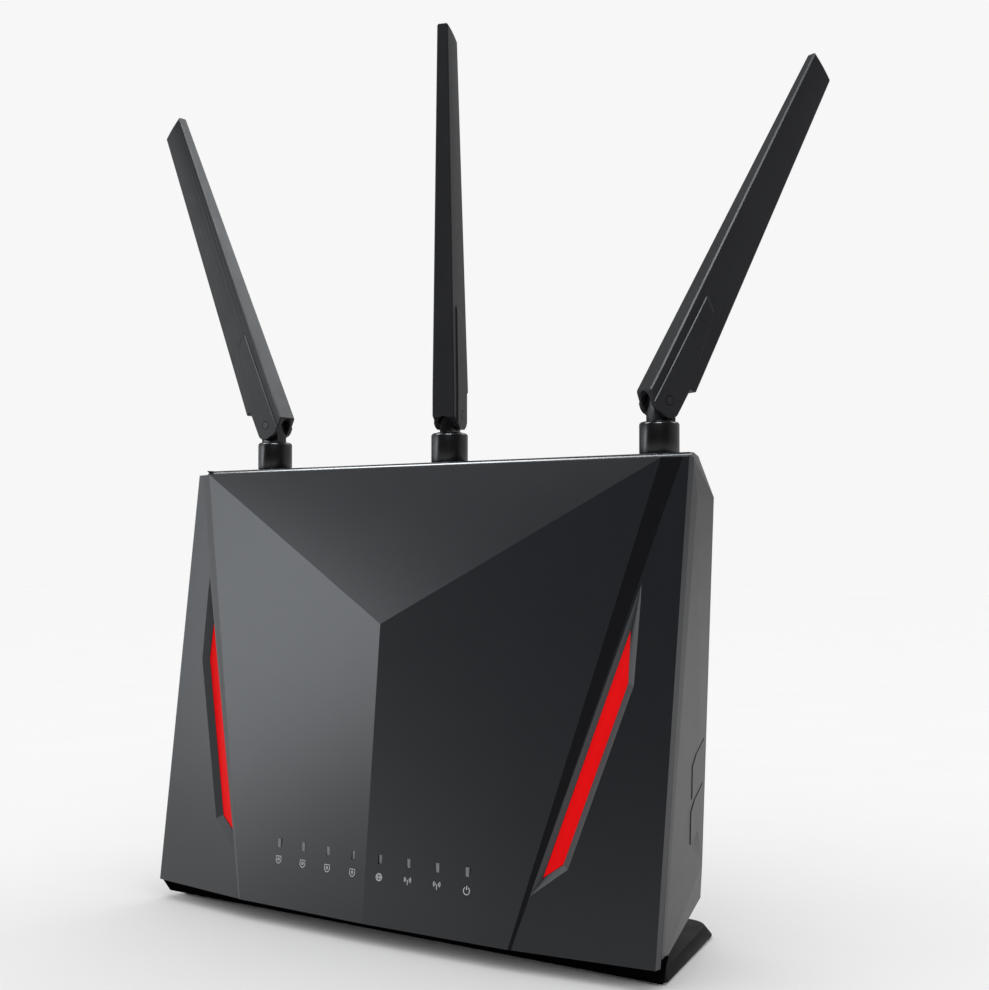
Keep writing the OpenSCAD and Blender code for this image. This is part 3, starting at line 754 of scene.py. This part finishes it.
def body_piece():
    """The blade's body with its heel, slotted for the knuckle."""
    outline = []
    for share in BODY_SHARES:
        x = BODY_FOOT_X[0] + (BODY_FOOT_X[1] - BODY_FOOT_X[0]) * share
        outline.append((x, BODY_FOOT, share))
    for share in reversed(BODY_SHARES):
        x, z = Vector(TIP_CORNERS[0]).lerp(Vector(TIP_CORNERS[1]), share)
        outline.append((x, z, share))
    outline += [(x, z, 0) for x, z in HEEL]
    halves = [body_half(z) for _, z, _ in outline]
    for i, (_, z, share) in enumerate(outline):
        if z > BODY_FOOT:
            halves[i] += TIP_DOME * (1 - (2 * share - 1) ** 2)
    near = [(x, -half, z) for (x, z, _), half in zip(outline, halves)]
    far = [(x, half, z) for (x, z, _), half in zip(outline, halves)]
    last = len(outline) - 3
    heel_foot, heel_end = last + 1, last + 2
    patches = [(i, i + 1, last - i - 1, last - i) for i in range(len(BODY_SHARES) - 1)]
    patches.append((0, heel_foot, heel_end, 2, 1))
    rim = (heel_foot, heel_end, *range(2, last + 1), 0)
    body = add_object("body", plate_mesh("body", near, far, patches, rim), [ANTENNA])
    chamfer(body, BLADE_FLAT, BLADE_SHARP_DEG)
    mesh = prism_mesh("slot", rectangle(*SLOT_SPAN), -SLOT_HALF, SLOT_HALF)
    cut(body, add_object("slot", mesh, [ANTENNA]))
    slot_foot = SLOT_SPAN[1]
    arch = [(-SLOT_HALF, slot_foot), (SLOT_HALF, slot_foot)]
    for i in range(ARCH_STEPS + 1):
        angle = math.pi * i / ARCH_STEPS
        arch.append((SLOT_HALF * math.cos(angle), SLOT_ARCH_Z + SLOT_HALF * math.sin(angle)))
    mesh = prism_mesh("arch", arch, SLOT_ARCH_FRONT, PAST_BLADE)
    mesh.transform(Matrix.Rotation(math.radians(90), 4, "Z"))
    cut(body, add_object("arch", mesh, [ANTENNA]))
    return body


def cheek_piece(side):
    """One ear with the raised panel above it; its head slopes down to the body."""
    near, far = [], []
    for x, z in PANEL_CORNERS:
        high = z > PANEL_FOOT_Z
        outer_z = z - PANEL_CHAMFER if high else z
        inner = body_half(z) - PANEL_SINK if high else SLOT_HALF
        near.append((x, side * (body_half(outer_z) + PANEL_RAISE), outer_z))
        far.append((x, side * inner, z))
    rim = tuple(range(len(PANEL_CORNERS)))
    cheek = add_object("cheek", plate_mesh("cheek", near, far, PANEL_PATCHES, rim), [ANTENNA])
    chamfer(cheek, PANEL_FLAT, BLADE_SHARP_DEG)
    ring = []
    for i in range(PIN_STEPS):
        angle = 2 * math.pi * i / PIN_STEPS
        ring.append((PIN_RING * math.cos(angle), PIN_RING * math.sin(angle)))
    mesh = prism_mesh("bore", ring, -PAST_BLADE, PAST_BLADE)
    cut(cheek, add_object("bore", mesh, [ANTENNA]))
    return cheek


def blade_place(side):
    """Where one blade's own axes lie at rest, from its tilt joint."""
    joint = next(j for j in frame["joints"] if j["name"] == f"antenna_{side}_tilt")
    pin = Vector(joint["axis"]).normalized()
    tilt = -math.radians(joint["range_deg"][0])
    along = Matrix.Rotation(tilt, 3, pin) @ Vector((0, 0, 1))
    place = Matrix((pin.cross(along), pin, along)).transposed().to_4x4()
    place.translation = Vector(joint["pos_m"])
    return place


def build_blades():
    """The three antenna blades: one body and two cheeks each."""
    parts = [body_piece(), cheek_piece(-1), cheek_piece(1)]
    shape = bmesh.new()
    for part in parts:
        shape.from_mesh(part.data)
        bpy.data.objects.remove(part)
    for side in SIDES:
        mesh = bpy.data.meshes.new(f"antenna_{side}")
        shape.to_mesh(mesh)
        mesh.transform(blade_place(side))
        blade = add_object(f"antenna_{side}", mesh, [ANTENNA])
        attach(blade, f"blade_{side}_body")
        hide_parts(f"blade_{side}")
    shape.free()


build_blades()


# ------------------------------------------------------------------ CAD nodes

FINISHES = {
    "accent_strip_left": (RED, 0.12),
    "accent_strip_right": (RED, 0.12),
    "light_pipe": (LENS, 0.0),
    "rear_shell": (SHELL, 0.35),
    "stand": (STAND, 0.5),
    "rubber_strips": (RUBBER, 0.4),
    "stand_screws": (STEEL, 0.0),
    "housing_screws": (STEEL, 0.0),
    "board_screws": (STEEL, 0.0),
    "lamp_board_screws": (STEEL, 0.0),
    "main_board": (BOARD, 0.0),
    "chips": (CHIP, 0.1),
    "thermal_pads": (PAD, 0.0),
    "front_heatsink": (ALUMINIUM, 0.0),
    "rear_heatsink": (ALUMINIUM, 0.0),
    "shield_can_left": (STEEL, 0.2),
    "shield_can_right": (STEEL, 0.2),
    "lamp_board": (BOARD, 0.0),
    "wan_jack": (STEEL, 0.0),
    "lan_jacks": (STEEL, 0.0),
    "usb_jacks": (STEEL, 0.0),
    "power_inlet": (BLACK, 0.0),
    "power_switch": (BLACK, 0.2),
    "power_button": (BLACK, 0.3),
    "reset_switch": (BLACK, 0.0),
    "reset_button": (RED, 0.1),
    "side_switch_board": (BOARD, 0.0),
    "upper_side_button": (SHELL, 0.0),
    "lower_side_button": (SHELL, 0.0),
    "antenna_jacks": (BRASS, 0.0),
    "antenna_jack_nuts": (STEEL, 0.15),
    "coax_tails": (CABLE, 0.0),
}
for side in SIDES:
    FINISHES[f"collar_{side}"] = (COLLAR, 0.22)
    FINISHES[f"knuckle_{side}"] = (COLLAR, 0.2)
    FINISHES[f"hinge_pin_{side}"] = (DARK_STEEL, 0.0)
    FINISHES[f"radiator_{side}"] = (BRASS, 0.0)

# The rim is what lies this near the shell's top and further forward than y = RIM_BEHIND.
RIM_BAND = 0.2
RIM_BEHIND = 9
RIM_ROUND = 1.2


def round_upper_rim():
    """Rounds and polishes the shell's upper front edge, a bright line above the cover."""
    shell = frame["nodes"]["rear_shell"]
    group = shell.vertex_groups.new(name="upper_rim")
    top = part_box("rear_shell")[1].z
    low, behind = top - RIM_BAND * MM, RIM_BEHIND * MM
    rim = [v.index for v in shell.data.vertices if v.co.z > low and v.co.y < behind]
    group.add(rim, 1.0, "REPLACE")
    shell.data.materials.append(RIM)
    bevel = shell.modifiers.new("rim_round", "BEVEL")
    bevel.limit_method = "VGROUP"
    bevel.vertex_group = "upper_rim"
    bevel.width = RIM_ROUND * MM
    bevel.segments = 4
    bevel.material = 1
    bevel.use_clamp_overlap = False
    order = [modifier.name for modifier in shell.modifiers]
    shell.modifiers.move(order.index("rim_round"), order.index("edge_break"))


for node, (material, width) in FINISHES.items():
    dress(node, material, width, faceted=node == "rear_shell")
round_upper_rim()


# -------------------------------------------------------------- floor, lights


TARGET = (0, 0, 90)
SOFTBOX_TINT = (0.92, 0.965, 1.0)


def softbox(name, place_mm, width_mm, height_mm, watts):
    """A soft rectangular lamp that faces the target and shows only as a reflection.

    The even light on the floor is the room's own.
    """
    lamp = bpy.data.lights.new(name, "AREA")
    lamp.shape = "RECTANGLE"
    lamp.size = width_mm * MM
    lamp.size_y = height_mm * MM
    lamp.energy = watts
    lamp.color = SOFTBOX_TINT
    thing = bpy.data.objects.new(name, lamp)
    bpy.context.scene.collection.objects.link(thing)
    thing.location = Vector(place_mm) * MM
    facing = (Vector(TARGET) - Vector(place_mm)).normalized()
    thing.rotation_mode = "QUATERNION"
    thing.rotation_quaternion = facing.to_track_quat("-Z", "Y")
    thing.visible_diffuse = False


FLOOR_REACH = 4000
FLOOR_PATCH_MM = 60
PAPER_DARK = (0.925, 0.925, 0.925)
PAPER_LIGHT = (0.935, 0.935, 0.935)


def build_floor():
    """Pale studio floor."""
    reach = FLOOR_REACH
    corners = [(x, y, 0) for x, y in rectangle(-reach, -reach, reach, reach)]
    mesh = mesh_from("floor", corners, [(0, 1, 2, 3)])
    material, nodes, links, shader = new_material("floor_paper")
    place = nodes.new("ShaderNodeTexCoord").outputs["Object"]
    share = spread(nodes, links, noise(nodes, links, place, FLOOR_PATCH_MM), 0, 1)
    paper = mixed(nodes, links, share, PAPER_DARK, PAPER_LIGHT)
    links.new(paper, shader.inputs["Base Color"])
    shader.inputs["Roughness"].default_value = 0.9
    shader.inputs["Specular IOR Level"].default_value = 0.1
    floor = add_object("studio_floor", mesh, [material])


ROOM_WHITE = 0.93
ROOM_FILL = 1.03
ROOM_DARK = 0.03
ROOM_BRIGHT = 0.47
ROOM_TURN = (-0.35, 0.75)


def build_world():
    """White all round, but for reflections bright behind the object and dark in front of it."""
    world = bpy.data.worlds.new("studio")
    bpy.context.scene.world = world
    world.use_nodes = True
    nodes, links = world.node_tree.nodes, world.node_tree.links
    background = nodes["Background"]
    place = nodes.new("ShaderNodeTexCoord").outputs["Generated"]
    split = nodes.new("ShaderNodeSeparateXYZ")
    links.new(place, split.inputs["Vector"])
    ramp = nodes.new("ShaderNodeMapRange")
    ramp.interpolation_type = "SMOOTHSTEP"
    ramp.inputs["From Min"].default_value = ROOM_TURN[0]
    ramp.inputs["From Max"].default_value = ROOM_TURN[1]
    ramp.inputs["To Min"].default_value = ROOM_DARK
    ramp.inputs["To Max"].default_value = ROOM_BRIGHT
    links.new(split.outputs["Y"], ramp.inputs["Value"])
    ray = nodes.new("ShaderNodeLightPath")
    seen = nodes.new("ShaderNodeMix")
    links.new(ray.outputs["Is Camera Ray"], seen.inputs["Factor"])
    seen.inputs["A"].default_value = ROOM_FILL
    seen.inputs["B"].default_value = ROOM_WHITE
    pick = nodes.new("ShaderNodeMix")
    links.new(ray.outputs["Is Glossy Ray"], pick.inputs["Factor"])
    links.new(seen.outputs["Result"], pick.inputs["A"])
    links.new(ramp.outputs["Result"], pick.inputs["B"])
    links.new(pick.outputs["Result"], background.inputs["Strength"])
    background.inputs["Color"].default_value = (1, 1, 1, 1)


CAMERA_PLACE = Vector((358.4, -426.6, 133.5)) * MM
CAMERA_YAW = math.radians(36.93)
CAMERA_RISE = math.radians(1.85)
CAMERA_LENS = 57.7
CAMERA_SENSOR = 36


def build_camera():
    """Camera at the front right, level with the housing and looking slightly up."""
    camera = bpy.data.cameras.new("camera")
    camera.lens = CAMERA_LENS
    camera.sensor_width = CAMERA_SENSOR
    camera.clip_start = 0.01
    thing = bpy.data.objects.new("camera", camera)
    bpy.context.scene.collection.objects.link(thing)
    thing.location = CAMERA_PLACE
    thing.rotation_euler = (math.radians(90) + CAMERA_RISE, 0, CAMERA_YAW)
    bpy.context.scene.camera = thing


build_floor()
build_world()
build_camera()
SOFTBOXES = (
    ("key_softbox", (-1030, -800, 340), 480, 560, 3.3),
    ("left_softbox", (-1400, -300, 340), 760, 560, 1.3),
    ("top_softbox", (-1300, -650, 1500), 800, 420, 17),
    ("rim_light", (-1000, -540, 1760), 560, 300, 7),
    ("edge_light", (573, -1000, 1690), 900, 300, 40),
    ("back_light", (470, 1350, 1430), 700, 700, 11),
)
for box in SOFTBOXES:
    softbox(*box)
bpy.context.scene.view_settings.view_transform = "Standard"
